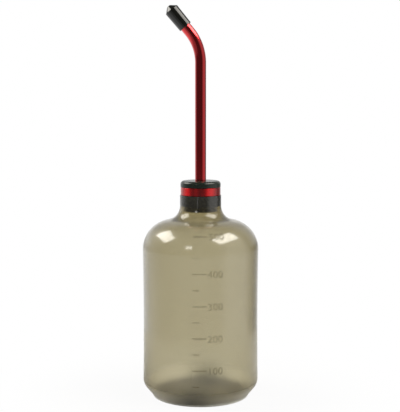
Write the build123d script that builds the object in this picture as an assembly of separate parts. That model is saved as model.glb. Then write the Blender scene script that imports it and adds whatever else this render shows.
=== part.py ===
from build123d import *
import os
from math import cos, radians, sin, tan

# Squeeze bottle for filling small fuel tanks: a blown bottle with a hooped neck, a push-in
# stopper, a bent spout tube through the stopper and a pull-off cap on the spout's end.
# Lengths are in millimetres and angles in degrees. The bottle's axis is Z, it stands on z = 0,
# and the spout bends towards -X.

# Bottle side and shoulder
BODY_RADIUS = 39.9
BODY_WALL = 1.2
WAIST_DEPTH = 0.35  # how far the side draws in half way up
SHOULDER_HEIGHT = 102.6  # where the side starts to turn in
SHOULDER_SLOPE = 14.0  # tilt of the straight run between the shoulder's curve and the neck's
SLOPE_RUN_SHARE = 0.115  # part of the way from side to neck that is straight
NECK_ROUND = 10.0  # hollow curve at the foot of the neck
BORE_ROUND = 7.0  # curve at the foot of the neck's bore

# Bottle heel and base
HEEL_ROUND = 8.2
HEEL_SLOPE = 39.5  # how far the heel turns in before it runs straight to the foot
FOOT_INSET = 6.4
FOOT_HEIGHT = 1.2
FOOT_EDGE_ROUND = 0.8
FOOT_LAND = 2.2  # width of the flat ring that the bottle stands on
BASE_RISE = 3.0  # push-up at the middle of the base
BASE_WALL = 1.8

# Bottle neck
MOUTH_RADIUS = 11.7
MOUTH_CHAMFER = 0.4
NECK_LENGTH = 7.48  # straight neck below the ring's ledge
FINISH_WALL = 1.0  # wall of the stepped-down end of the neck, inside the ring
LEDGE_OVERHANG = 0.4  # how far the neck stands out past the ring

# Collar ring
RING_HEIGHT = 5.4
RING_WALL = 1.05
RING_CHAMFER = 0.25
RING_FIT = 0.05  # clearance round the end of the neck

# Stopper
FLANGE_HEIGHT = 4.4
FLANGE_ROUND = 2.2
FLANGE_SEAT_CHAMFER = 0.25
PLUG_LENGTH = 16.8
PLUG_CLEARANCE = 0.1  # between the plug and the mouth
PLUG_CHAMFER = 0.8

# Spout tube
TUBE_RADIUS = 3.8
TUBE_WALL = 0.8
TUBE_FIT = 0.05  # clearance in the stopper
STEM_LENGTH = 80.5  # from the stopper's top to the bend
BEND_RADIUS = 32.3
BEND_ANGLE = 40.0
SPOUT_LENGTH = 18.0  # straight end past the bend

# Tip cap
CAP_DEPTH = 14.0  # length of tube inside the cap
CAP_CLEARANCE = 0.05
CAP_WALL = 0.84
CAP_FLARE = 0.28  # the cap widens this much towards its end
CAP_END_WALL = 0.8  # from the end of the tube to the foot of the cone
CAP_CONE_HEIGHT = 3.2
CAP_TIP_RADIUS = 1.2
CAP_MOUTH_ROUND = 0.3
CAP_EDGE_ROUND = 0.6
CAP_TIP_ROUND = 0.4

# Radii worked out from the mouth outwards
FINISH_RADIUS = MOUTH_RADIUS + FINISH_WALL
RING_BORE_RADIUS = FINISH_RADIUS + RING_FIT
RING_RADIUS = RING_BORE_RADIUS + RING_WALL
NECK_RADIUS = RING_RADIUS + LEDGE_OVERHANG
FLANGE_RADIUS = RING_RADIUS
PLUG_RADIUS = MOUTH_RADIUS - PLUG_CLEARANCE
FOOT_RADIUS = BODY_RADIUS - FOOT_INSET

# Curve sizes that make the bottle's arcs meet without a corner
SLOPE_REACH_SHARE = 1 - sin(radians(SHOULDER_SLOPE))
SLOPE_RUN = SLOPE_RUN_SHARE * (BODY_RADIUS - NECK_RADIUS)
SHOULDER_ROUND = (BODY_RADIUS - NECK_RADIUS - SLOPE_RUN) / SLOPE_REACH_SHARE - NECK_ROUND
HEEL_DRAW_IN = HEEL_ROUND * (1 - cos(radians(HEEL_SLOPE)))
HEEL_CONE_HEIGHT = (FOOT_INSET - HEEL_DRAW_IN) / tan(radians(HEEL_SLOPE))
HEEL_HEIGHT = FOOT_HEIGHT + HEEL_CONE_HEIGHT + HEEL_ROUND * sin(radians(HEEL_SLOPE))

# Heights worked out from the table upwards
SLOPE_FOOT = SHOULDER_HEIGHT + (SHOULDER_ROUND + NECK_ROUND) * cos(radians(SHOULDER_SLOPE))
NECK_FOOT = SLOPE_FOOT + SLOPE_RUN * tan(radians(SHOULDER_SLOPE))
LEDGE = NECK_FOOT + NECK_LENGTH
RIM = LEDGE + RING_HEIGHT
PLUG_END = RIM - PLUG_LENGTH
FLANGE_TOP = RIM + FLANGE_HEIGHT
BEND_START = FLANGE_TOP + STEM_LENGTH

# Line of the spout past its bend
SPOUT_DIRECTION = Vector(-sin(radians(BEND_ANGLE)), 0, cos(radians(BEND_ANGLE)))
BEND_TANGENT = BEND_RADIUS * tan(radians(BEND_ANGLE / 2))
BEND_CORNER = Vector(0, 0, BEND_START + BEND_TANGENT)
SPOUT_END = BEND_CORNER + SPOUT_DIRECTION * (BEND_TANGENT + SPOUT_LENGTH)


def turned(edges):
    """Solid of revolution about Z from the edges of a closed section in radius and height."""
    return revolve(Plane.XZ * make_face(edges), axis=Axis.Z)


def shoulder_and_neck(side_radius, neck_radius, shoulder_round, neck_round):
    """Full curve of the shoulder, its straight slope and the hollow curve of the neck."""
    both_rounds = shoulder_round + neck_round
    run = side_radius - neck_radius - both_rounds * SLOPE_REACH_SHARE
    slope_foot = SHOULDER_HEIGHT + both_rounds * cos(radians(SHOULDER_SLOPE))
    neck_foot = slope_foot + run * tan(radians(SHOULDER_SLOPE))
    turn = 90 - SHOULDER_SLOPE
    shoulder = CenterArc((side_radius - shoulder_round, SHOULDER_HEIGHT), shoulder_round, 0, turn)
    neck = CenterArc((neck_radius + neck_round, neck_foot), neck_round, 180, turn)
    return [shoulder, Line(shoulder @ 1, neck @ 1), neck]


def side_and_heel(side_radius, heel_round, cone_end):
    """Waisted side, heel curve and the straight run from the heel down to the foot."""
    middle = (SHOULDER_HEIGHT + HEEL_HEIGHT) / 2
    side = ThreePointArc(
        (side_radius, SHOULDER_HEIGHT),
        (side_radius - WAIST_DEPTH, middle),
        (side_radius, HEEL_HEIGHT),
    )
    heel = CenterArc((BODY_RADIUS - HEEL_ROUND, HEEL_HEIGHT), heel_round, 0, -HEEL_SLOPE)
    cone = Line(heel @ 1, cone_end)
    return [side, heel, cone]


def bottle():
    """Blown shell: S-curved shoulder, stepped neck, waisted side, foot ring and pushed-up base."""
    land_radius = FOOT_RADIUS - FOOT_EDGE_ROUND
    outside = shoulder_and_neck(BODY_RADIUS, NECK_RADIUS, SHOULDER_ROUND, NECK_ROUND)
    outside += side_and_heel(BODY_RADIUS, HEEL_ROUND, (FOOT_RADIUS, FOOT_HEIGHT))
    foot = [
        Line((FOOT_RADIUS, FOOT_HEIGHT), (FOOT_RADIUS, FOOT_EDGE_ROUND)),
        CenterArc((land_radius, FOOT_EDGE_ROUND), FOOT_EDGE_ROUND, 0, -90),
        Line((land_radius, 0), (land_radius - FOOT_LAND, 0)),
        TangentArc((0, BASE_RISE), (land_radius - FOOT_LAND, 0), tangent=(1, 0)),
    ]

    inner_side = BODY_RADIUS - BODY_WALL
    inner_heel_round = HEEL_ROUND - BODY_WALL
    heel_end_radius = BODY_RADIUS - HEEL_ROUND + inner_heel_round * cos(radians(HEEL_SLOPE))
    heel_end_height = HEEL_HEIGHT - inner_heel_round * sin(radians(HEEL_SLOPE))
    floor_radius = heel_end_radius - (heel_end_height - BASE_WALL) * tan(radians(HEEL_SLOPE))
    inside = shoulder_and_neck(inner_side, MOUTH_RADIUS, SHOULDER_ROUND - BODY_WALL, BORE_ROUND)
    bore_foot = inside[2] @ 0
    inside += side_and_heel(inner_side, inner_heel_round, (floor_radius, BASE_WALL))
    base = [
        TangentArc((0, BASE_RISE + BASE_WALL), (floor_radius, BASE_WALL), tangent=(1, 0)),
        Line((0, BASE_RISE), (0, BASE_RISE + BASE_WALL)),
    ]

    finish = Polyline(
        (NECK_RADIUS, NECK_FOOT),
        (NECK_RADIUS, LEDGE),
        (FINISH_RADIUS, LEDGE),
        (FINISH_RADIUS, RIM),
        (MOUTH_RADIUS + MOUTH_CHAMFER, RIM),
        (MOUTH_RADIUS, RIM - MOUTH_CHAMFER),
        bore_foot,
    )
    return turned(outside + foot + base + inside + [finish])


def collar_ring():
    """Hoop that stops the neck spreading round the stopper, its outer edges broken."""
    return turned(
        Polyline(
            (RING_BORE_RADIUS, LEDGE),
            (RING_RADIUS - RING_CHAMFER, LEDGE),
            (RING_RADIUS, LEDGE + RING_CHAMFER),
            (RING_RADIUS, RIM - RING_CHAMFER),
            (RING_RADIUS - RING_CHAMFER, RIM),
            (RING_BORE_RADIUS, RIM),
            close=True,
        )
    )


def stopper():
    """Moulded stopper: a flange that sits on the rim and a plug that fills the mouth."""
    hole_radius = TUBE_RADIUS + TUBE_FIT
    edge_centre = (FLANGE_RADIUS - FLANGE_ROUND, FLANGE_TOP - FLANGE_ROUND)
    sides = Polyline(
        (FLANGE_RADIUS - FLANGE_ROUND, FLANGE_TOP),
        (hole_radius, FLANGE_TOP),
        (hole_radius, PLUG_END),
        (PLUG_RADIUS - PLUG_CHAMFER, PLUG_END),
        (PLUG_RADIUS, PLUG_END + PLUG_CHAMFER),
        (PLUG_RADIUS, RIM),
        (FLANGE_RADIUS - FLANGE_SEAT_CHAMFER, RIM),
        (FLANGE_RADIUS, RIM + FLANGE_SEAT_CHAMFER),
        (FLANGE_RADIUS, FLANGE_TOP - FLANGE_ROUND),
    )
    return turned([sides, CenterArc(edge_centre, FLANGE_ROUND, 0, 90)])


def spout_tube():
    """Tube from the plug's end up through the flange, round its one bend and on to the tip."""
    path = FilletPolyline((0, 0, PLUG_END), BEND_CORNER, SPOUT_END, radius=BEND_RADIUS)
    section = Circle(TUBE_RADIUS) - Circle(TUBE_RADIUS - TUBE_WALL)
    return sweep(Pos(0, 0, PLUG_END) * section, path=path)


def tip_cap():
    """Blind cap with a slight flare and a blunt cone, modelled on Z and set on the tube's end."""
    bore_radius = TUBE_RADIUS + CAP_CLEARANCE
    mouth_radius = bore_radius + CAP_WALL
    outside = FilletPolyline(
        (bore_radius, -CAP_DEPTH),
        (mouth_radius, -CAP_DEPTH),
        (mouth_radius + CAP_FLARE, CAP_END_WALL),
        (CAP_TIP_RADIUS, CAP_END_WALL + CAP_CONE_HEIGHT),
        (0, CAP_END_WALL + CAP_CONE_HEIGHT),
        radius=[CAP_MOUTH_ROUND, CAP_EDGE_ROUND, CAP_TIP_ROUND],
    )
    inside = Polyline(
        (0, CAP_END_WALL + CAP_CONE_HEIGHT),
        (0, 0),
        (bore_radius, 0),
        (bore_radius, -CAP_DEPTH),
    )
    seat = Plane(origin=SPOUT_END, x_dir=(0, 1, 0), z_dir=SPOUT_DIRECTION)
    return seat * turned([outside, inside])


os.makedirs("parts", exist_ok=True)
for piece in (bottle, collar_ring, stopper, spout_tube, tip_cap):
    export_step(piece(), f"parts/{piece.__name__}.step")
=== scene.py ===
import math

import bmesh
import bpy
from bpy.props import FloatProperty, FloatVectorProperty, PointerProperty
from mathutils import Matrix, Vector


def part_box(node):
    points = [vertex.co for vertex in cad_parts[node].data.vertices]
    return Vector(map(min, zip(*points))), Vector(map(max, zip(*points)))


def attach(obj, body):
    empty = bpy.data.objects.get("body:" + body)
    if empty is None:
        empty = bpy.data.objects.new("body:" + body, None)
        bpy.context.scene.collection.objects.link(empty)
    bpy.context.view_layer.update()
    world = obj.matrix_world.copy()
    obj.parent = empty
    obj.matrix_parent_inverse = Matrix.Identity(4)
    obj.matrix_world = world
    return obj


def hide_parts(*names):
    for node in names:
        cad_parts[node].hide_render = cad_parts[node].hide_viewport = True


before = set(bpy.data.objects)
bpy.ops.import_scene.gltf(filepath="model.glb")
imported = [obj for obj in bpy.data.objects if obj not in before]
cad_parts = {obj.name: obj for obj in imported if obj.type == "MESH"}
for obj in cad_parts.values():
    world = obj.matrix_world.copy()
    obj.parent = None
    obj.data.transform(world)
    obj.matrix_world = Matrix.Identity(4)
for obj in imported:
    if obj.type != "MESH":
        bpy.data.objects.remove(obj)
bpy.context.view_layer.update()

bl_info = {
    "name": "Filler Bottle",
    "version": (1, 0, 0),
    "blender": (4, 5, 0),
    "location": "3D View > Sidebar > Filler Bottle",
    "description": "Dresses the squeeze bottle for filling fuel tanks and sets up its studio",
    "category": "Object",
}

MM = 0.001

# Corners of the solids, which the sizes below start from
BOTTLE_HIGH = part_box("bottle")[1]
RING_LOW, RING_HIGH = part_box("collar_ring")
STOPPER_LOW, STOPPER_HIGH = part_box("stopper")
TUBE_LOW, TUBE_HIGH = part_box("spout_tube")


# Settings


def hex_to_linear(code):
    """Linear red, green and blue of an sRGB hex colour."""
    channels = [int(code[i : i + 2], 16) / 255 for i in (1, 3, 5)]
    return tuple(c / 12.92 if c <= 0.04045 else ((c + 0.055) / 1.055) ** 2.4 for c in channels)


def length(name, description, default):
    """A length that a user can change, in metres."""
    return FloatProperty(name=name, description=description, default=default, precision=5, unit="LENGTH")


def angle(name, description, degrees):
    """An angle that a user can change."""
    return FloatProperty(name=name, description=description, default=math.radians(degrees), unit="ROTATION")


def share(name, description, default):
    """A part of a whole that a user can change."""
    return FloatProperty(name=name, description=description, default=default, subtype="FACTOR", min=0, max=1)


def colour(name, description, code):
    """A colour that a user can change, written as sRGB hex."""
    return FloatVectorProperty(
        name=name, description=description, default=hex_to_linear(code), subtype="COLOR", min=0, max=1
    )


class BottleSizes(bpy.types.PropertyGroup):
    """Sizes of the blown bottle, the same as its solid's but for the wider curve of the bore."""

    body_radius: length("Body radius", "Radius of the side at its ends", BOTTLE_HIGH.x)
    wall: length("Wall", "Thickness of the side and the shoulder", 1.2 * MM)
    waist: length("Waist", "How far the side draws in half way up", 0.35 * MM)
    shoulder_height: length("Shoulder height", "Where the side starts to turn in", 102.6 * MM)
    shoulder_slope: angle("Shoulder slope", "Tilt of the straight run between the curves", 14)
    slope_run_share: share("Slope share", "Part of the way from side to neck that is straight", 0.115)
    neck_round: length("Neck round", "Hollow curve at the foot of the neck", 10.0 * MM)
    bore_round: length("Bore round", "Curve at the foot of the neck's bore", 11.3 * MM)
    heel_round: length("Heel round", "Curve at the foot of the side", 8.2 * MM)
    heel_slope: angle("Heel slope", "Turn of the heel before it runs straight to the foot", 39.5)
    foot_inset: length("Foot inset", "How far the foot stands in from the side", 6.4 * MM)
    foot_height: length("Foot height", "Height of the foot ring", 1.2 * MM)
    foot_edge: length("Foot edge", "Round on the edge of the foot ring", 0.8 * MM)
    foot_land: length("Foot land", "Width of the ring it stands on", 2.2 * MM)
    base_rise: length("Base rise", "Push-up of the base", 3.0 * MM)
    base_wall: length("Base wall", "Thickness of the base", 1.8 * MM)
    mouth_radius: length("Mouth radius", "Inside of the neck", 11.7 * MM)
    mouth_chamfer: length("Mouth chamfer", "Bevel inside the rim", 0.4 * MM)
    finish_wall: length("Finish wall", "Wall of the neck's stepped end", 1.0 * MM)
    ledge_overhang: length("Ledge overhang", "How far the neck stands out past the ring", 0.4 * MM)


class MarkSizes(bpy.types.PropertyGroup):
    """Sizes of what the mould left on the bottle: the graduation and the parting line."""

    seam_angle: angle("Parting line", "Place of the parting line, from the front", -8.1)
    seam_width: length("Parting line width", "Width of the raised line", 0.6 * MM)
    seam_rise: length("Parting line rise", "Height of the line on the side", 0.03 * MM)
    neck_seam_rise: length("Neck line rise", "Height of the line at the top of the neck", 0.4 * MM)
    neck_seam_length: length("Neck line length", "From the ring to where the neck's line ends", 10 * MM)
    zero_height: length("Zero", "Height that the graduation counts from", 4.77 * MM)
    step: length("Step", "Rise from one mark to the next", 10.8 * MM)
    top_height: length("Top mark", "Height of the last mark, on the shoulder", 115.5 * MM)
    short_mark: length("Short mark", "Length of the marks between numbers", 4.7 * MM)
    long_mark: length("Long mark", "Length of the marks with numbers", 9.5 * MM)
    mark_width: length("Mark width", "Width of a mark at its foot", 0.9 * MM)
    mark_rise: length("Mark rise", "How far marks and numbers stand out", 0.22 * MM)
    number_start: length("Number start", "From the parting line to the numbers", 10.2 * MM)
    number_height: length("Number height", "Height of the figures", 4.7 * MM)
    number_drop: length("Number drop", "How far the figures' middle lies below the mark", 0.5 * MM)
    number_edge: length("Number edge", "Bevel on the edges of the figures", 0.06 * MM)


class StopperSizes(bpy.types.PropertyGroup):
    """Sizes of the soft stopper, the same as its solid's but for the squeeze."""

    plug_chamfer: length("Plug chamfer", "Bevel at the plug's end", 0.8 * MM)
    flange_round: length("Flange round", "Round on the flange's top edge", 2.2 * MM)
    seat_chamfer: length("Seat chamfer", "Bevel at the flange's seat", 0.25 * MM)
    squeeze: length("Squeeze", "How far the soft plug presses into the mouth's wall", 0.02 * MM)
    tube_fit: length("Tube fit", "Clearance round the tube", 0.05 * MM)


class SpoutSizes(bpy.types.PropertyGroup):
    """Sizes of the bent tube, the same as its solid's."""

    tube_radius: length("Tube radius", "Outside of the tube", TUBE_HIGH.y)
    wall: length("Wall", "Thickness of the tube", 0.8 * MM)
    stem: length("Stem", "From the stopper's top to the bend", 80.5 * MM)
    bend_radius: length("Bend radius", "Radius of the bend's middle line", 32.3 * MM)
    bend_angle: angle("Bend angle", "Turn of the spout", 40)
    straight_end: length("Straight end", "Tube past the bend", 18.0 * MM)
    edge: length("Edge", "Broken edge at the tube's ends", 0.15 * MM)


class Finishes(bpy.types.PropertyGroup):
    """Colours of the finishes."""

    smoke: colour("Smoke tint", "What white light turns to in the bottle's wall", "#C4B776")
    anodised: colour("Anodised red", "Dyed oxide on the ring and the tube", "#D4161C")
    rubber: colour("Rubber", "Black of the stopper", "#1B241C")
    vinyl: colour("Vinyl", "Black of the tip cap", "#151612")
    paper: colour("Paper", "Floor sheet", "#F4F4F2")
    lamp: colour("Lamp", "Light of the soft boxes", "#FFFBF2")


class Studio(bpy.types.PropertyGroup):
    """Where the camera and the lamps stand."""

    camera_distance: length("Camera distance", "From the bottle's axis", 700 * MM)
    camera_height: length("Camera height", "Above the floor", 205.4 * MM)
    camera_side: length("Camera side step", "To the right of the bottle's axis", -0.4 * MM)
    camera_pitch: angle("Camera pitch", "Downward tilt", 5.97)
    lens: FloatProperty(name="Lens", description="Focal length in millimetres", default=89.26)
    lamp_distance: length("Lamp distance", "From the bottle's shoulder", 1.1)
    floor_radius: length("Floor radius", "Size of the paper under the bottle", 220 * MM)


class BottleSettings(bpy.types.PropertyGroup):
    """All settings of the part."""

    bottle: PointerProperty(type=BottleSizes)
    marks: PointerProperty(type=MarkSizes)
    stopper: PointerProperty(type=StopperSizes)
    spout: PointerProperty(type=SpoutSizes)
    finishes: PointerProperty(type=Finishes)
    studio: PointerProperty(type=Studio)


# Nodes and materials


def add_node(tree, kind, inputs=None, **settings):
    """Add a node with its settings; an input is a value, or another node's output to link."""
    node = tree.nodes.new(kind)
    for name, value in settings.items():
        setattr(node, name, value)
    for name, value in (inputs or {}).items():
        if isinstance(value, bpy.types.NodeSocket):
            tree.links.new(value, node.inputs[name])
        else:
            node.inputs[name].default_value = value
    return node


def new_material(name):
    """An empty node material and its output node."""
    material = bpy.data.materials.new(name)
    material.use_nodes = True
    material.node_tree.nodes.clear()
    return material, material.node_tree, add_node(material.node_tree, "ShaderNodeOutputMaterial")


def smoke_polyethylene(tint, seam_angle):
    """Blown polyethylene, smoke tinted: clear enough to see the plug through one wall, hazy through
    two, darker where the wall is thick, with a glossy skin that waves a little. The skin is duller
    on the inside, which touched no mould, on the marks, which come from etched steel, and on the
    neck's curve. The marks are also darker in colour: painted shade for the light that their raised
    edges turn aside. The base is milkier, with a scuffed foot, and paler towards the bottom: painted
    light from the white floor below. Along the parting line low down and across the base it is
    darker: partly the plastic that was pinched there and is thicker than it is drawn here, and
    partly painted shade from under and behind the bottle, seen through the base."""
    material, tree, output = new_material("smoke polyethylene, blown")
    place = add_node(tree, "ShaderNodeTexCoord").outputs["Object"]
    height = add_node(tree, "ShaderNodeSeparateXYZ", {"Vector": place}).outputs["Z"]
    mark = add_node(tree, "ShaderNodeAttribute", attribute_name="mark").outputs["Fac"]
    dull = add_node(tree, "ShaderNodeAttribute", attribute_name="dull").outputs["Fac"]
    wave_width = 9 * MM
    wave = add_node(tree, "ShaderNodeTexNoise", {"Vector": place, "Scale": 1 / wave_width, "Detail": 2.0})
    skin = add_node(
        tree,
        "ShaderNodeBump",
        {"Height": wave.outputs["Fac"], "Strength": 0.25, "Distance": 0.1 * MM},
    )
    flow_width = 14 * MM
    drawn_out = add_node(tree, "ShaderNodeMapping", {"Vector": place, "Scale": (1, 1, 0.25)})
    flow = add_node(
        tree,
        "ShaderNodeTexNoise",
        {"Vector": drawn_out.outputs["Vector"], "Scale": 1 / flow_width, "Detail": 4.0},
    ).outputs["Fac"]
    across_line = (math.cos(seam_angle), math.sin(seam_angle), 0)
    across = add_node(tree, "ShaderNodeVectorMath", {0: place, 1: across_line}, operation="DOT_PRODUCT")
    off_line = add_node(tree, "ShaderNodeMath", {0: across.outputs["Value"]}, operation="ABSOLUTE").outputs[0]

    # How each property changes: its first value, then what it follows, from, to, and its next value
    full_gloss = 0.34
    plug_end = STOPPER_LOW.z
    neck_curve = (height, plug_end - 10.5 * MM, plug_end - 4.5 * MM, 0.1)
    neck_top = (height, plug_end + 0.2 * MM, plug_end + 2 * MM, full_gloss)
    near_weld_and_shade = (off_line, 0, 22 * MM, 0)
    changes = {
        "haze": ("LINEAR", 0.16, ((flow, 0.3, 0.7, 0.21),)),
        "milkiness": ("LINEAR", 0.36, ((height, 4 * MM, 22 * MM, 0.1),)),
        "clearness": ("LINEAR", 0.2, ((height, 1 * MM, 3 * MM, 1),)),
        "gloss": (
            "LINEAR",
            full_gloss,
            (neck_curve, neck_top, (dull, 0, 1, 0), (height, 22 * MM, 6 * MM, 0)),
        ),
        # Paler towards the bottom: painted light, for the light the white floor throws up into the base
        "base": ("SMOOTHSTEP", 1, ((height, 4 * MM, 14 * MM, 0),)),
        # Darker along the parting line low down and across the base: partly the thicker plastic where it was
        # pinched, partly painted shade from under and behind the bottle
        "weld_and_shade": ("SMOOTHSTEP", 1, (near_weld_and_shade, (height, 2 * MM, 18 * MM, 0), (height, 1.8 * MM, 0.8 * MM, 0))),
    }
    amounts = {}
    for name, (interpolation, amount, ramps) in changes.items():
        for value, start, end, next_amount in ramps:
            ramp = add_node(
                tree,
                "ShaderNodeMapRange",
                {"Value": value, "From Min": start, "From Max": end, "To Min": amount, "To Max": next_amount},
                interpolation_type=interpolation,
            )
            amount = ramp.outputs["Result"]
        amounts[name] = amount

    # What the surface lets through: a first tint, and how much of which others go over it
    tints = (
        (flow, "#EBE9DD"),
        # paler towards the bottom: painted light from the floor
        (amounts["base"], "#FFFDF4"),
        # darker along the parting line low down: partly thicker plastic, partly painted shade
        (amounts["weld_and_shade"], "#908D76"),
        # darker marks: painted shade for the light that their raised edges turn aside
        (mark, "#B8B6AE"),
    )
    passed = (*hex_to_linear("#E4E1D6"), 1)
    for amount, code in tints:
        mixed = add_node(
            tree,
            "ShaderNodeMix",
            {"Factor": amount, 6: passed, 7: (*hex_to_linear(code), 1)},
            data_type="RGBA",
        )
        passed = mixed.outputs[2]
    rough = add_node(
        tree,
        "ShaderNodeMath",
        {0: amounts["haze"], 1: amounts["milkiness"]},
        operation="MAXIMUM",
    )
    plastic = add_node(
        tree,
        "ShaderNodeBsdfPrincipled",
        {
            "Base Color": passed,
            "Roughness": rough.outputs[0],
            "IOR": 1.51,
            "Transmission Weight": amounts["clearness"],
            "Coat Weight": amounts["gloss"],
            "Coat Roughness": 0.15,
            "Coat IOR": 2.4,
            "Normal": skin.outputs["Normal"],
            "Coat Normal": skin.outputs["Normal"],
        },
    )
    dye = add_node(tree, "ShaderNodeVolumeAbsorption", {"Color": (*tint, 1), "Density": 392.0})
    tree.links.new(plastic.outputs["BSDF"], output.inputs["Surface"])
    tree.links.new(dye.outputs["Volume"], output.inputs["Volume"])
    return material


def anodised_aluminium(name, tint, coordinates, stretch, smoothest, roughest, clear_skin, line_spread):
    """Aluminium, drawn or turned and then dyed red in its oxide: a metal that shines in its own
    red under a clear glossy skin, with fine tool lines. stretch draws the lines out along one way,
    and line_spread is how much turned lines draw a highlight out across them."""
    material, tree, output = new_material(name)
    place = add_node(tree, "ShaderNodeTexCoord").outputs[coordinates]
    line_width = 0.35 * MM  # real tool lines are finer: this coarse they still show in a picture
    drawn_out = add_node(tree, "ShaderNodeMapping", {"Vector": place, "Scale": stretch})
    lines = add_node(
        tree,
        "ShaderNodeTexNoise",
        {"Vector": drawn_out.outputs["Vector"], "Scale": 1 / line_width, "Detail": 3.0},
    ).outputs["Fac"]
    sheen = add_node(
        tree,
        "ShaderNodeMapRange",
        {"Value": lines, "From Min": 0.3, "From Max": 0.7, "To Min": smoothest, "To Max": roughest},
    )
    dye_share = 0.82
    deeper = tuple(dye_share * c for c in tint)
    dye = add_node(
        tree,
        "ShaderNodeMix",
        {"Factor": lines, 6: (*deeper, 1), 7: (*tint, 1)},
        data_type="RGBA",
    )
    relief = add_node(tree, "ShaderNodeBump", {"Height": lines, "Strength": 0.05, "Distance": 0.01 * MM})
    metal = add_node(
        tree,
        "ShaderNodeBsdfPrincipled",
        {
            "Base Color": dye.outputs[2],
            "Metallic": 1.0,
            "Roughness": sheen.outputs["Result"],
            "Anisotropic": line_spread,
            "Anisotropic Rotation": 0.25,
            "Coat Weight": clear_skin,
            "Coat Roughness": 0.08,
            "Coat IOR": 1.6,
            "Normal": relief.outputs["Normal"],
        },
    )
    tree.links.new(metal.outputs["BSDF"], output.inputs["Surface"])
    return material


def black_elastomer(name, tint, grain, smoothest, roughest, relief_height):
    """Black rubber or vinyl from a polished mould: nearly black, with a soft gloss that breaks up
    over a fine, shallow unevenness of the given grain."""
    material, tree, output = new_material(name)
    place = add_node(tree, "ShaderNodeTexCoord").outputs["Object"]
    uneven = add_node(
        tree,
        "ShaderNodeTexNoise",
        {"Vector": place, "Scale": 1 / grain, "Detail": 4.0},
    ).outputs["Fac"]
    sheen = add_node(
        tree,
        "ShaderNodeMapRange",
        {"Value": uneven, "From Min": 0.3, "From Max": 0.7, "To Min": smoothest, "To Max": roughest},
    )
    bloom_share = 1.5
    bloom = tuple(bloom_share * c for c in tint)
    shade = add_node(
        tree,
        "ShaderNodeMix",
        {"Factor": uneven, 6: (*tint, 1), 7: (*bloom, 1)},
        data_type="RGBA",
    )
    relief = add_node(tree, "ShaderNodeBump", {"Height": uneven, "Strength": 0.2, "Distance": relief_height})
    black = add_node(
        tree,
        "ShaderNodeBsdfPrincipled",
        {
            "Base Color": shade.outputs[2],
            "Roughness": sheen.outputs["Result"],
            "IOR": 1.52,
            "Normal": relief.outputs["Normal"],
        },
    )
    tree.links.new(black.outputs["BSDF"], output.inputs["Surface"])
    return material


def white_paper(tint):
    """Matt studio paper: it takes the shadow near the bottle, and shows as plain white further out.
    To mirrored rays a ring round the bottle's foot glows white: painted light for the foot to
    mirror, where the paper lies in the bottle's shadow.
    """
    material, tree, output = new_material("studio paper")
    material.cycles.emission_sampling = "NONE"
    place = add_node(tree, "ShaderNodeTexCoord").outputs["Object"]
    away = add_node(tree, "ShaderNodeVectorMath", {0: place}, operation="LENGTH").outputs["Value"]
    path = add_node(tree, "ShaderNodeLightPath")
    # How the paper is seen, then from and to which distance from the bottle's axis, in millimetres,
    # and how white it is at both
    views = (
        ("Is Camera Ray", ((40, 160, 0.93, 1.0),)),
        ("Is Transmission Ray", ((0, 33, 0.9, 1.0),)),
        # The ring from 30 to 60 mm glows white to mirrored rays alone: painted light for the foot to mirror
        ("Is Glossy Ray", ((30, 33, 0.0, 0.5), (36, 60, 1.0, 0.0))),
    )
    white_share = 0.0
    for view, ramps in views:
        seen = path.outputs[view]
        for near, far, near_share, far_share in ramps:
            reach = add_node(
                tree,
                "ShaderNodeMapRange",
                {"Value": away, 1: near * MM, 2: far * MM, 3: near_share, 4: far_share},
                interpolation_type="SMOOTHSTEP",
            )
            part = add_node(tree, "ShaderNodeMath", {0: seen, 1: reach.outputs[0]}, operation="MULTIPLY")
            seen = part.outputs[0]
        most = add_node(tree, "ShaderNodeMath", {0: white_share, 1: seen}, operation="MAXIMUM")
        white_share = most.outputs[0]
    # White only to rays that no matt surface has scattered, so that it lights nothing
    no_bounce = {0: path.outputs["Diffuse Depth"], 1: 0.5}
    direct = add_node(tree, "ShaderNodeMath", no_bounce, operation="LESS_THAN").outputs[0]
    shown = add_node(tree, "ShaderNodeMath", {0: white_share, 1: direct}, operation="MULTIPLY")
    matt = add_node(tree, "ShaderNodeBsdfDiffuse", {"Color": (*tint, 1)})
    white = add_node(tree, "ShaderNodeEmission", {"Strength": 1.0})
    both = add_node(
        tree,
        "ShaderNodeMixShader",
        {0: shown.outputs[0], 1: matt.outputs["BSDF"], 2: white.outputs["Emission"]},
    )
    tree.links.new(both.outputs["Shader"], output.inputs["Surface"])
    return material


# Shapes

# How many steps each curve of the bottle's section is drawn in
BASE_STEPS = 12
FOOT_STEPS = 5
HEEL_STEPS = 9
SIDE_STEPS = 24
SHOULDER_STEPS = 26
NECK_STEPS = 18
# Kinds of the bottle's faces, and what each kind tells the material
PLAIN, BAR, FIGURE, INNER = range(4)
FACE_NOTES = {
    # How much of the marks' darker tint, which is painted shade, a face takes
    "mark": {PLAIN: 0.0, BAR: 0.8, FIGURE: 1.0, INNER: 0.0},
    "dull": {PLAIN: 0.0, BAR: 0.7, FIGURE: 0.8, INNER: 1.0},
}
# The graduation
MARK_COUNT = 10
MARK_MILLILITRES = 50
# The figures' typeface: height of a figure as a share of the type's size, and the space between figures
FIGURE_SHARE = 0.69
FIGURE_SPACING = 1.05


def arc(centre, radius, start, turn, steps):
    """Points of an arc in radius and height, ends included; start and turn are in degrees."""
    angles = [math.radians(start + turn * i / steps) for i in range(steps + 1)]
    return [(centre[0] + radius * math.cos(a), centre[1] + radius * math.sin(a)) for a in angles]


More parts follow.
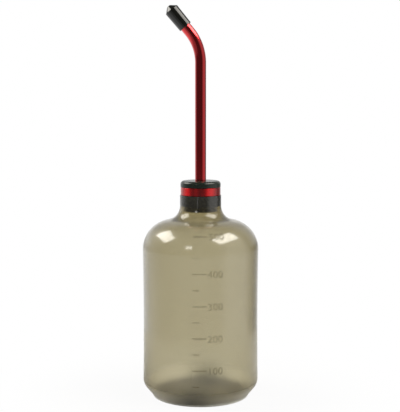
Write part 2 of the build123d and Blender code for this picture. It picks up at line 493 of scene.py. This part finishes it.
def dome(rim_radius, rim_height, rise, steps):
    """Points of a shallow dome from its middle out to its rim."""
    sphere = (rim_radius**2 + rise**2) / (2 * rise)
    half_turn = math.degrees(math.asin(rim_radius / sphere))
    points = arc((0, rim_height + rise - sphere), sphere, 90, -half_turn, steps)
    return [(0, rim_height + rise)] + points[1:]


def front_point(radius, turn, height):
    """Point at a turn from the front, which is -Y; a positive turn goes to the right, +X."""
    return Vector((radius * math.sin(turn), -radius * math.cos(turn), height))


class BottleShape:
    """The bottle's section, worked out from its sizes as the solid's is."""

    def __init__(self, sizes):
        self.s = s = sizes
        self.slope = math.degrees(s.shoulder_slope)
        self.reach_share = 1 - math.sin(s.shoulder_slope)
        self.ledge = RING_LOW.z
        self.rim = BOTTLE_HIGH.z
        self.neck_radius = RING_HIGH.x + s.ledge_overhang
        reach = s.body_radius - self.neck_radius
        self.shoulder_round = reach * (1 - s.slope_run_share) / self.reach_share - s.neck_round
        self.foot_radius = s.body_radius - s.foot_inset
        draw_in = s.heel_round * (1 - math.cos(s.heel_slope))
        cone = (s.foot_inset - draw_in) / math.tan(s.heel_slope)
        self.heel_height = s.foot_height + cone + s.heel_round * math.sin(s.heel_slope)

    def side_radius(self, outer, height):
        """Radius of the waisted side at a height, for the outer or inner end radius given."""
        middle = (self.s.shoulder_height + self.heel_height) / 2
        half = (self.s.shoulder_height - self.heel_height) / 2
        return outer - self.s.waist * (1 - ((height - middle) / half) ** 2)

    def wall_line(self, side, neck, shoulder_round, neck_round, heel_round):
        """Heel, side, shoulder, slope and neck curve of one face of the wall, from the bottom up."""
        s = self.s
        heel_turn = math.degrees(s.heel_slope)
        heel_centre = (s.body_radius - s.heel_round, self.heel_height)
        points = arc(heel_centre, heel_round, -heel_turn, heel_turn, HEEL_STEPS)
        rise = s.shoulder_height - self.heel_height
        for i in range(1, SIDE_STEPS):
            height = self.heel_height + rise * i / SIDE_STEPS
            points.append((self.side_radius(side, height), height))
        both_rounds = shoulder_round + neck_round
        slope_rise = (side - neck - both_rounds * self.reach_share) * math.tan(s.shoulder_slope)
        neck_foot = s.shoulder_height + both_rounds * math.cos(s.shoulder_slope) + slope_rise
        turn = 90 - self.slope
        points += arc((side - shoulder_round, s.shoulder_height), shoulder_round, 0, turn, SHOULDER_STEPS)
        points += arc((neck + neck_round, neck_foot), neck_round, 270 - self.slope, -turn, NECK_STEPS)
        return points

    def outside(self):
        """Outer face from the middle of the base up to the ledge under the ring."""
        s = self.s
        land = self.foot_radius - s.foot_edge
        points = dome(land - s.foot_land, 0, s.base_rise, BASE_STEPS)
        points += arc((land, s.foot_edge), s.foot_edge, -90, 90, FOOT_STEPS)
        points.append((self.foot_radius, s.foot_height))
        points += self.wall_line(
            s.body_radius, self.neck_radius, self.shoulder_round, s.neck_round, s.heel_round
        )
        return points + [(self.neck_radius, self.ledge)]

    def finish(self):
        """Stepped end of the neck, from the ledge round the rim into the mouth."""
        s = self.s
        outer = s.mouth_radius + s.finish_wall
        return [
            (outer, self.ledge),
            (outer, self.rim),
            (s.mouth_radius + s.mouth_chamfer, self.rim),
            (s.mouth_radius, self.rim - s.mouth_chamfer),
        ]

    def inside(self):
        """Inner face from the neck down to the middle of the floor."""
        s = self.s
        inner_heel = s.heel_round - s.wall
        wall = self.wall_line(
            s.body_radius - s.wall, s.mouth_radius, self.shoulder_round - s.wall, s.bore_round, inner_heel
        )
        heel_radius, heel_height = wall[0]
        floor_radius = heel_radius - (heel_height - s.base_wall) * math.tan(s.heel_slope)
        return wall[::-1] + dome(floor_radius, s.base_wall, s.base_rise, BASE_STEPS)[::-1]

    def on_surface(self, around, up, out, height, seam_angle):
        """Point of the outside that lies around and up from the parting line at a height, raised by out."""
        s = self.s
        if height <= s.shoulder_height:
            radius = self.side_radius(s.body_radius, height)
            turn = around / radius
            place = (radius + out, height + up)
        else:
            centre = s.body_radius - self.shoulder_round
            tilt = math.asin((height - s.shoulder_height) / self.shoulder_round)
            turn = around / (centre + self.shoulder_round * math.cos(tilt))
            tilt += up / self.shoulder_round
            reach = self.shoulder_round + out
            place = (centre + reach * math.cos(tilt), s.shoulder_height + reach * math.sin(tilt))
        return front_point(place[0], seam_angle + turn, place[1])


def mesh_data(name, mesh):
    """Turn a bmesh into mesh data."""
    data = bpy.data.meshes.new(name)
    mesh.to_mesh(data)
    mesh.free()
    return data


def add_object(name, data):
    """Put data in the scene as an object."""
    added = bpy.data.objects.new(name, data)
    bpy.context.scene.collection.objects.link(added)
    return added


def show(name, data, material, smooth_angle=32):
    """Put a piece in the scene, smooth apart from its sharp edges."""
    piece = add_object(name, data)
    data.materials.clear()
    data.materials.append(material)
    data.polygons.foreach_set("use_smooth", [True] * len(data.polygons))
    data.set_sharp_from_angle(angle=math.radians(smooth_angle))
    return piece


def turned_shell(name, rows, columns_of):
    """Closed mesh of the rows turned about Z; columns_of gives a row's (turn, radius, height) list.
    A row on the axis becomes one point, and a last row that repeats the first closes the section."""
    mesh = bmesh.new()
    rings = []
    for index, (radius, height) in enumerate(rows):
        if radius == 0:
            rings.append([mesh.verts.new((0, 0, height))])
        else:
            rings.append([mesh.verts.new(front_point(r, t, z)) for t, r, z in columns_of(index)])
    if rows[0] == rows[-1]:
        bmesh.ops.delete(mesh, geom=rings[-1], context="VERTS")
        rings[-1] = rings[0]
    for lower, upper in zip(rings, rings[1:]):
        count = max(len(lower), len(upper))
        for i in range(count):
            j = (i + 1) % count
            corners = [lower[i % len(lower)], lower[j % len(lower)]]
            corners += [upper[j % len(upper)], upper[i % len(upper)]]
            mesh.faces.new(list(dict.fromkeys(corners)))
    bmesh.ops.recalc_face_normals(mesh, faces=mesh.faces)
    return mesh_data(name, mesh)


def blown_shell(shape, marks):
    """Mesh of the bottle with the parting line raised on its outside, front and back."""
    outside, finish = shape.outside(), shape.finish()
    rows = outside + finish + shape.inside()
    first = max(i for i, (r, z) in enumerate(outside) if z <= shape.s.foot_height) + 1
    last = len(outside) - 1
    inner = len(outside + finish)
    plain_step = math.radians(1.5)
    plain_turns = [plain_step * i for i in range(2, 119)]
    # The line's section: shares of half its width and of its rise
    ridge_shares = ((-1, 0), (-0.5, 0.6), (0, 1), (0.5, 0.6), (1, 0))

    def columns(index):
        radius, height = rows[index]
        on_wall = first <= index <= last
        out_r, out_z = 1.0, 0.0
        if on_wall:
            (r0, z0), (r1, z1) = rows[index - 1], rows[min(index + 1, last)]
            run = math.hypot(r1 - r0, z1 - z0)
            out_r, out_z = (z1 - z0) / run, -(r1 - r0) / run
        # On the neck the line has its full height down to half of its length there
        climb = 2 * (1 - (shape.ledge - height) / marks.neck_seam_length)
        crest = marks.seam_rise + (marks.neck_seam_rise - marks.seam_rise) * min(max(climb, 0), 1)
        half_turn = min(marks.seam_width / 2 / radius, plain_step)
        turns = [(across * half_turn, lift) for across, lift in ridge_shares]
        turns += [(turn, 0) for turn in plain_turns]
        ring = []
        for half in (0, math.pi):
            for turn, lift in turns:
                rise = lift * crest if on_wall else 0
                place = (radius + rise * out_r, height + rise * out_z)
                ring.append((marks.seam_angle + half + turn, *place))
        return ring

    data = turned_shell("blown_bottle", rows, columns)
    for face in data.polygons[inner * len(columns(inner)) :]:
        face.material_index = INNER
    return data


def mark_bar(mesh, shape, marks, height, mark_length, steps=10):
    """One raised mark of the graduation, sunk a little into the wall so that the two join."""
    half, rise = marks.mark_width / 2, marks.mark_rise
    section = [(-half, -rise), (-half, 0), (-half / 2, rise), (half / 2, rise), (half, 0), (half, -rise)]
    rings = []
    for i in range(steps + 1):
        around = mark_length * i / steps
        ring = [shape.on_surface(around, up, out, height, marks.seam_angle) for up, out in section]
        rings.append([mesh.verts.new(point) for point in ring])
    for near, far in zip(rings, rings[1:]):
        for i in range(len(section)):
            j = (i + 1) % len(section)
            mesh.faces.new((near[i], near[j], far[j], far[i])).material_index = BAR
    mesh.faces.new(rings[0][::-1])
    mesh.faces.new(rings[-1])


def mark_number(mesh, shape, marks, height, number):
    """A raised number beside its mark."""
    text = bpy.data.curves.new("figures", "FONT")
    text.body = str(number)
    text.size = marks.number_height / FIGURE_SHARE
    text.space_character = FIGURE_SPACING
    text.align_y = "CENTER"
    text.extrude = marks.mark_rise
    text.bevel_depth = marks.number_edge
    text.bevel_resolution = 0
    text.resolution_u = 4
    flat = bpy.data.objects.new("figures", text)
    data = bpy.data.meshes.new_from_object(flat)
    figures = bmesh.new()
    figures.from_mesh(data)
    bmesh.ops.remove_doubles(figures, verts=figures.verts, dist=0.001 * MM)
    moved = {}
    for v in figures.verts:
        around = marks.number_start + v.co.x
        up = v.co.y - marks.number_drop
        moved[v] = mesh.verts.new(shape.on_surface(around, up, v.co.z, height, marks.seam_angle))
    for f in figures.faces:
        mesh.faces.new([moved[v] for v in f.verts]).material_index = FIGURE
    figures.free()
    bpy.data.objects.remove(flat)
    bpy.data.curves.remove(text)
    bpy.data.meshes.remove(data)


def graduation(shape, marks):
    """Closed mesh of all marks and numbers, one shell each."""
    mesh = bmesh.new()
    for count in range(1, MARK_COUNT + 1):
        on_shoulder = count == MARK_COUNT
        height = marks.top_height if on_shoulder else marks.zero_height + count * marks.step
        numbered = count % 2 == 0
        mark_bar(mesh, shape, marks, height, marks.long_mark if numbered else marks.short_mark)
        if numbered:
            mark_number(mesh, shape, marks, height, MARK_MILLILITRES * count)
    bmesh.ops.recalc_face_normals(mesh, faces=mesh.faces)
    return mesh_data("graduation", mesh)


def joined(shell, raised):
    """Mesh of a shell with the raised shells made one with it, and notes for its material on each face."""
    for data in (shell, raised):
        for _ in range(PLAIN, INNER + 1):
            data.materials.append(None)
    body, tool = add_object("shell", shell), add_object("raised", raised)
    union = body.modifiers.new("join", "BOOLEAN")
    union.operation = "UNION"
    union.solver = "MANIFOLD"
    union.object = tool
    depsgraph = bpy.context.evaluated_depsgraph_get()
    data = bpy.data.meshes.new_from_object(body.evaluated_get(depsgraph))
    for part in (body, tool):
        bpy.data.objects.remove(part)
    kinds = [face.material_index for face in data.polygons]
    if set(kinds) != {PLAIN, BAR, FIGURE, INNER}:
        raise RuntimeError("The marks did not join the bottle")
    for name, values in FACE_NOTES.items():
        note = data.attributes.new(name, "FLOAT", "FACE")
        note.data.foreach_set("value", [values[kind] for kind in kinds])
    data.polygons.foreach_set("material_index", [0] * len(kinds))
    return data


def moulded_stopper(stopper, bottle, spout, around=160, edge_steps=14):
    """Mesh of the stopper: a plug that fills the mouth, and a flange with a rounded top edge."""
    hole = spout.tube_radius + stopper.tube_fit
    plug = bottle.mouth_radius + stopper.squeeze
    end, rim, top = STOPPER_LOW.z, BOTTLE_HIGH.z, STOPPER_HIGH.z
    flange, edge = STOPPER_HIGH.x, stopper.flange_round
    rows = [(hole, top), (hole, end), (plug - stopper.plug_chamfer, end), (plug, end + stopper.plug_chamfer)]
    rows += [(plug, rim), (flange - stopper.seat_chamfer, rim), (flange, rim + stopper.seat_chamfer)]
    rows += arc((flange - edge, top - edge), edge, 0, 90, edge_steps)
    rows.append(rows[0])
    turns = [2 * math.pi * i / around for i in range(around)]
    return turned_shell("moulded_stopper", rows, lambda index: [(t, *rows[index]) for t in turns])


def ahead(turn):
    """Direction of the tube's middle line where it has turned that far from upright."""
    return Vector((-math.sin(turn), 0, math.cos(turn)))


def tube_line(spout, stem_steps=40, bend_steps=32, end_steps=8):
    """Places and turns along the tube's middle line, from the plug's end to the tip."""
    start, top = TUBE_LOW.z, STOPPER_HIGH.z + spout.stem
    line = [(Vector((0, 0, start + (top - start) * i / stem_steps)), 0.0) for i in range(stem_steps)]
    for i in range(bend_steps + 1):
        turn = spout.bend_angle * i / bend_steps
        across = spout.bend_radius * (1 - math.cos(turn))
        line.append((Vector((-across, 0, top + spout.bend_radius * math.sin(turn))), turn))
    end, turn = line[-1]
    run = ahead(turn) * spout.straight_end
    line += [(end + run * i / end_steps, turn) for i in range(1, end_steps + 1)]
    return line


def bent_tube(spout, around=96):
    """Mesh of the tube with its bore and broken edges; its UV map is in metres round and along it."""
    outer, bore, edge = spout.tube_radius, spout.tube_radius - spout.wall, spout.edge
    line = tube_line(spout)
    travels = [0.0]
    for (a, _), (b, _) in zip(line, line[1:]):
        travels.append(travels[-1] + (b - a).length)
    stations = [(place, turn, travel) for (place, turn), travel in zip(line, travels)]
    first, first_turn, _ = stations[0]
    last, last_turn, end = stations[-1]
    rings = [(first, first_turn, outer - edge, 0.0)]
    rings.append((first + ahead(first_turn) * edge, first_turn, outer, edge))
    rings += [(place, turn, outer, travel) for place, turn, travel in stations[1:-1]]
    rings.append((last - ahead(last_turn) * edge, last_turn, outer, end - edge))
    rings.append((last, last_turn, outer - edge, end))
    rings += [(place, turn, bore, travel) for place, turn, travel in stations[::-1]]

    mesh = bmesh.new()
    grain = mesh.loops.layers.uv.new("metres")
    loops = []
    for place, turn, radius, travel in rings:
        side = Vector((math.cos(turn), 0, math.sin(turn)))
        ring = []
        for i in range(around):
            a = 2 * math.pi * i / around
            out = side * math.cos(a) + Vector((0, math.sin(a), 0))
            ring.append(mesh.verts.new(place + radius * out))
        loops.append((ring, travel))
    loops.append(loops[0])
    for (near, near_travel), (far, far_travel) in zip(loops, loops[1:]):
        for i in range(around):
            j = (i + 1) % around
            face = mesh.faces.new((near[i], near[j], far[j], far[i]))
            corners = ((i, near_travel), (i + 1, near_travel), (i + 1, far_travel), (i, far_travel))
            for loop, (k, travel) in zip(face.loops, corners):
                loop[grain].uv = (2 * math.pi * outer * k / around, travel)
    bmesh.ops.recalc_face_normals(mesh, faces=mesh.faces)
    return mesh_data("bent_tube", mesh)


def finish_node(name, material):
    """Give a solid's own mesh its finish."""
    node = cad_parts[name]
    node.data.materials.clear()
    node.data.materials.append(material)


# Stage

# Name, turn from the camera's side and lift above the horizon in degrees, width and height in metres
SOFT_BOXES = (
    ("soft_box_left", -105, 41, (0.78, 0.44)),
    ("soft_box_right", 74, 50, (0.95, 0.46)),
    ("catch_light", -27, 26, (0.12, 0.2)),
)
SOFT_BOX_RADIANCE = 6.0
LAMP_AIM = Vector((0, -0.03, 0.115))
# What else shines in the room: how much, and along which axes, from where to where, it grows
ROOM_DARK = 0.08
ROOM_GLOWS = (
    (0.5, (("X", 0.5, 0.9), ("Y", 0.5, 0.1))),
    (0.5, (("X", -0.4, -0.8), ("Y", -0.3, 0.6))),
    (0.55, (("X", -0.2, -0.7), ("Z", -0.28, -0.5))),
    (0.65, (("Y", 0.5, 0.95), ("X", 0.7, 0.0), ("Z", 0.38, 0.08))),
    (0.5, (("Y", 0.3, 0.8), ("Z", -0.05, 0.15), ("Z", 0.95, 0.5))),
    (0.26, (("Z", -0.07, -0.15),)),
    (0.16, (("Y", 0.68, 0.8), ("X", 0.12, 0.3), ("Z", 0.3, 0.05))),
)
# How far back a mirrored direction points where the white background starts and is full
BACKDROP_START, BACKDROP_FULL = 0.93, 0.98
SENSOR_WIDTH = 36


def lay_floor(radius, material):
    """A plain sheet under the bottle."""
    mesh = bmesh.new()
    bmesh.ops.create_circle(mesh, cap_ends=True, segments=96, radius=radius)
    floor = add_object("floor", mesh_data("floor", mesh))
    floor.data.materials.append(material)


def hang_soft_box(name, turn, lift, size, settings):
    """A rectangular lamp that faces the bottle's shoulder."""
    lamp = bpy.data.lights.new(name, "AREA")
    lamp.shape = "RECTANGLE"
    lamp.size, lamp.size_y = size
    lamp.energy = SOFT_BOX_RADIANCE * math.pi * size[0] * size[1]
    lamp.color = settings.finishes.lamp
    turn, lift = math.radians(turn), math.radians(lift)
    away = front_point(math.cos(lift), turn, math.sin(lift))
    box = add_object(name, lamp)
    box.location = LAMP_AIM + away * settings.studio.lamp_distance
    box.rotation_euler = away.to_track_quat("Z", "Y").to_euler()
    box.visible_camera = False
    box.visible_transmission = False


def surround():
    """White to the camera, through the bottle and in what mirrors the background; to all else a dim
    room with soft glows."""
    world = bpy.data.worlds.new("studio")
    bpy.context.scene.world = world
    world.use_nodes = True
    world.cycles.sampling_method = "NONE"
    tree = world.node_tree
    tree.nodes.clear()
    way = add_node(tree, "ShaderNodeTexCoord").outputs["Generated"]
    parts = add_node(tree, "ShaderNodeSeparateXYZ", {"Vector": way})
    total = ROOM_DARK
    for strength, ramps in ROOM_GLOWS:
        glow = strength
        for axis, start, end in ramps:
            ramp = add_node(
                tree,
                "ShaderNodeMapRange",
                {"Value": parts.outputs[axis], "From Min": start, "From Max": end, "To Max": glow},
                interpolation_type="SMOOTHSTEP",
            )
            glow = ramp.outputs["Result"]
        total = add_node(tree, "ShaderNodeMath", {0: total, 1: glow}, operation="ADD").outputs[0]
    path = add_node(tree, "ShaderNodeLightPath")
    mirrored = add_node(
        tree,
        "ShaderNodeMapRange",
        {
            "Value": parts.outputs["Y"],
            "From Min": BACKDROP_START,
            "From Max": BACKDROP_FULL,
            "To Max": path.outputs["Is Glossy Ray"],
        },
        interpolation_type="SMOOTHSTEP",
    )
    seen = path.outputs["Is Camera Ray"]
    for other in (path.outputs["Is Transmission Ray"], mirrored.outputs["Result"]):
        seen = add_node(tree, "ShaderNodeMath", {0: seen, 1: other}, operation="MAXIMUM").outputs[0]
    # White only to rays that no matt surface has scattered, so that it lights nothing
    no_bounce = {0: path.outputs["Diffuse Depth"], 1: 0.5}
    direct = add_node(tree, "ShaderNodeMath", no_bounce, operation="LESS_THAN").outputs[0]
    shown = add_node(tree, "ShaderNodeMath", {0: seen, 1: direct}, operation="MULTIPLY")
    white = (*hex_to_linear("#FFFFFF"), 1)
    room = add_node(tree, "ShaderNodeBackground", {"Color": white, "Strength": total})
    background = add_node(tree, "ShaderNodeBackground", {"Color": white, "Strength": 1.0})
    both = add_node(
        tree,
        "ShaderNodeMixShader",
        {0: shown.outputs[0], 1: room.outputs["Background"], 2: background.outputs["Background"]},
    )
    add_node(tree, "ShaderNodeOutputWorld", {"Surface": both.outputs["Shader"]})


def set_camera(studio):
    """The camera of the photograph's view."""
    data = bpy.data.cameras.new("camera")
    data.sensor_width = SENSOR_WIDTH
    data.lens = studio.lens
    camera = add_object("camera", data)
    camera.location = (studio.camera_side, -studio.camera_distance, studio.camera_height)
    camera.rotation_euler = (math.pi / 2 - studio.camera_pitch, 0, 0)
    bpy.context.scene.camera = camera


# Operators, one for each piece and one for the stage


class FILLER_OT_bottle(bpy.types.Operator):
    """Blow the bottle with its parting line and raised graduation"""

    bl_idname = "filler.bottle"
    bl_label = "Bottle"

    def execute(self, context):
        settings = context.scene.filler_bottle
        shape = BottleShape(settings.bottle)
        data = joined(blown_shell(shape, settings.marks), graduation(shape, settings.marks))
        plastic = smoke_polyethylene(settings.finishes.smoke, settings.marks.seam_angle)
        piece = show("bottle_blown", data, plastic)
        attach(piece, "bottle")
        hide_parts("bottle")
        return {"FINISHED"}


class FILLER_OT_collar(bpy.types.Operator):
    """Finish the turned collar ring in red anodised aluminium"""

    bl_idname = "filler.collar"
    bl_label = "Collar ring"

    def execute(self, context):
        turned = anodised_aluminium(
            "anodised aluminium, turned",
            context.scene.filler_bottle.finishes.anodised,
            coordinates="Object",
            stretch=(0.02, 0.02, 1),
            smoothest=0.5,
            roughest=0.56,
            clear_skin=1.0,
            line_spread=1.0,
        )
        finish_node("collar_ring", turned)
        return {"FINISHED"}


class FILLER_OT_stopper(bpy.types.Operator):
    """Mould the rubber stopper"""

    bl_idname = "filler.stopper"
    bl_label = "Stopper"

    def execute(self, context):
        settings = context.scene.filler_bottle
        rubber = black_elastomer(
            "nitrile rubber, moulded",
            settings.finishes.rubber,
            grain=0.8 * MM,
            smoothest=0.22,
            roughest=0.32,
            relief_height=0.02 * MM,
        )
        data = moulded_stopper(settings.stopper, settings.bottle, settings.spout)
        piece = show("stopper_moulded", data, rubber)
        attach(piece, "stopper")
        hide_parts("stopper")
        return {"FINISHED"}


class FILLER_OT_spout(bpy.types.Operator):
    """Draw and bend the spout tube"""

    bl_idname = "filler.spout"
    bl_label = "Spout tube"

    def execute(self, context):
        settings = context.scene.filler_bottle
        drawn = anodised_aluminium(
            "anodised aluminium, drawn",
            settings.finishes.anodised,
            coordinates="UV",
            stretch=(1, 0.015, 1),
            smoothest=0.14,
            roughest=0.18,
            clear_skin=0.9,
            line_spread=0.0,
        )
        piece = show("spout_tube_drawn", bent_tube(settings.spout), drawn)
        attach(piece, "stopper")
        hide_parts("spout_tube")
        return {"FINISHED"}


class FILLER_OT_tip_cap(bpy.types.Operator):
    """Finish the dipped vinyl cap on the spout's tip"""

    bl_idname = "filler.tip_cap"
    bl_label = "Tip cap"

    def execute(self, context):
        vinyl = black_elastomer(
            "plasticised vinyl, dipped",
            context.scene.filler_bottle.finishes.vinyl,
            grain=1.6 * MM,
            smoothest=0.05,
            roughest=0.09,
            relief_height=0.004 * MM,
        )
        finish_node("tip_cap", vinyl)
        return {"FINISHED"}


class FILLER_OT_stage(bpy.types.Operator):
    """Lay the floor, hang the lamps and set the camera"""

    bl_idname = "filler.stage"
    bl_label = "Stage"

    def execute(self, context):
        settings = context.scene.filler_bottle
        lay_floor(settings.studio.floor_radius, white_paper(settings.finishes.paper))
        for name, turn, lift, size in SOFT_BOXES:
            hang_soft_box(name, turn, lift, size, settings)
        surround()
        set_camera(settings.studio)
        context.scene.view_settings.view_transform = "Standard"
        return {"FINISHED"}


class FILLER_PT_panel(bpy.types.Panel):
    """Sidebar list of the pieces and their settings"""

    bl_idname = "FILLER_PT_panel"
    bl_label = "Filler Bottle"
    bl_space_type = "VIEW_3D"
    bl_region_type = "UI"
    bl_category = "Filler Bottle"

    def draw(self, context):
        for operator in OPERATORS:
            self.layout.operator(operator.bl_idname)
        settings = context.scene.filler_bottle
        for group_name in BottleSettings.__annotations__:
            group = getattr(settings, group_name)
            column = self.layout.column(align=True)
            column.label(text=group_name.capitalize())
            for name in type(group).__annotations__:
                column.prop(group, name)


OPERATORS = (
    FILLER_OT_bottle,
    FILLER_OT_collar,
    FILLER_OT_stopper,
    FILLER_OT_spout,
    FILLER_OT_tip_cap,
    FILLER_OT_stage,
)
CLASSES = (
    BottleSizes,
    MarkSizes,
    StopperSizes,
    SpoutSizes,
    Finishes,
    Studio,
    BottleSettings,
    *OPERATORS,
    FILLER_PT_panel,
)


def register():
    for cls in CLASSES:
        bpy.utils.register_class(cls)
    bpy.types.Scene.filler_bottle = PointerProperty(type=BottleSettings)


def unregister():
    del bpy.types.Scene.filler_bottle
    for cls in reversed(CLASSES):
        bpy.utils.unregister_class(cls)


def main():
    register()
    bpy.ops.filler.bottle()
    bpy.ops.filler.collar()
    bpy.ops.filler.stopper()
    bpy.ops.filler.spout()
    bpy.ops.filler.tip_cap()
    bpy.ops.filler.stage()


if __name__ == "__main__":
    main()
